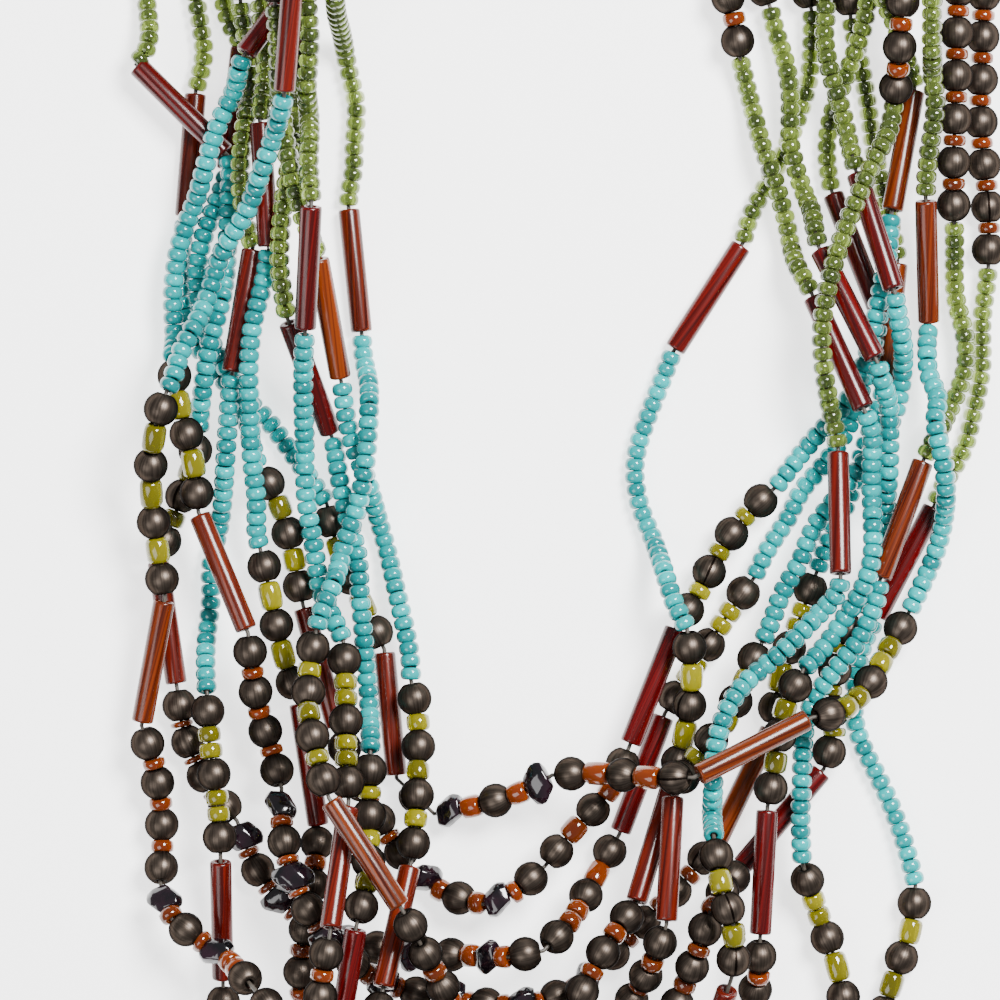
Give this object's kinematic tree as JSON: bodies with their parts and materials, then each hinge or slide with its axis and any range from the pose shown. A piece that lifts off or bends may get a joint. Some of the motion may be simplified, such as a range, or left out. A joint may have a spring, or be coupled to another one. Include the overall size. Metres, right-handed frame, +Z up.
{
  "type": "multi strand bead necklace",
  "caption": "Multi strand necklace of seed, bugle and round beads and stone chips, lying flat as a closed loop on a plain bar clasp.",
  "frame": {"origin": "middle of the necklace's outline on the surface that it lies on", "axes": "+X across the necklace to the wearer's left, +Y from the front of the loop to the clasp, +Z up from the surface"},
  "size_m": [0.1496, 0.3162, 0.0319],
  "materials": {
    "glass_beads": "glossy seed beads, green and turquoise",
    "mixed_beads": "satin bronze round beads, with red glass bugles and dark stone chips",
    "clasp_metal": "satin"
  },
  "bodies": {
    "root": {"clasp": "clasp_metal", "string_1": "glass_beads", "string_2": "glass_beads", "string_3": "glass_beads", "string_4": "glass_beads", "string_5": "glass_beads", "string_6": "glass_beads", "string_7": "glass_beads", "string_8": "glass_beads", "string_9": "glass_beads", "string_10": "glass_beads", "string_11": "glass_beads", "beads_1": "mixed_beads", "beads_2": "mixed_beads", "beads_3": "mixed_beads", "beads_4": "mixed_beads", "beads_5": "mixed_beads", "beads_6": "mixed_beads", "beads_7": "mixed_beads", "beads_8": "mixed_beads", "beads_9": "mixed_beads", "beads_10": "mixed_beads", "beads_11": "mixed_beads"}
  },
  "joints": []
}
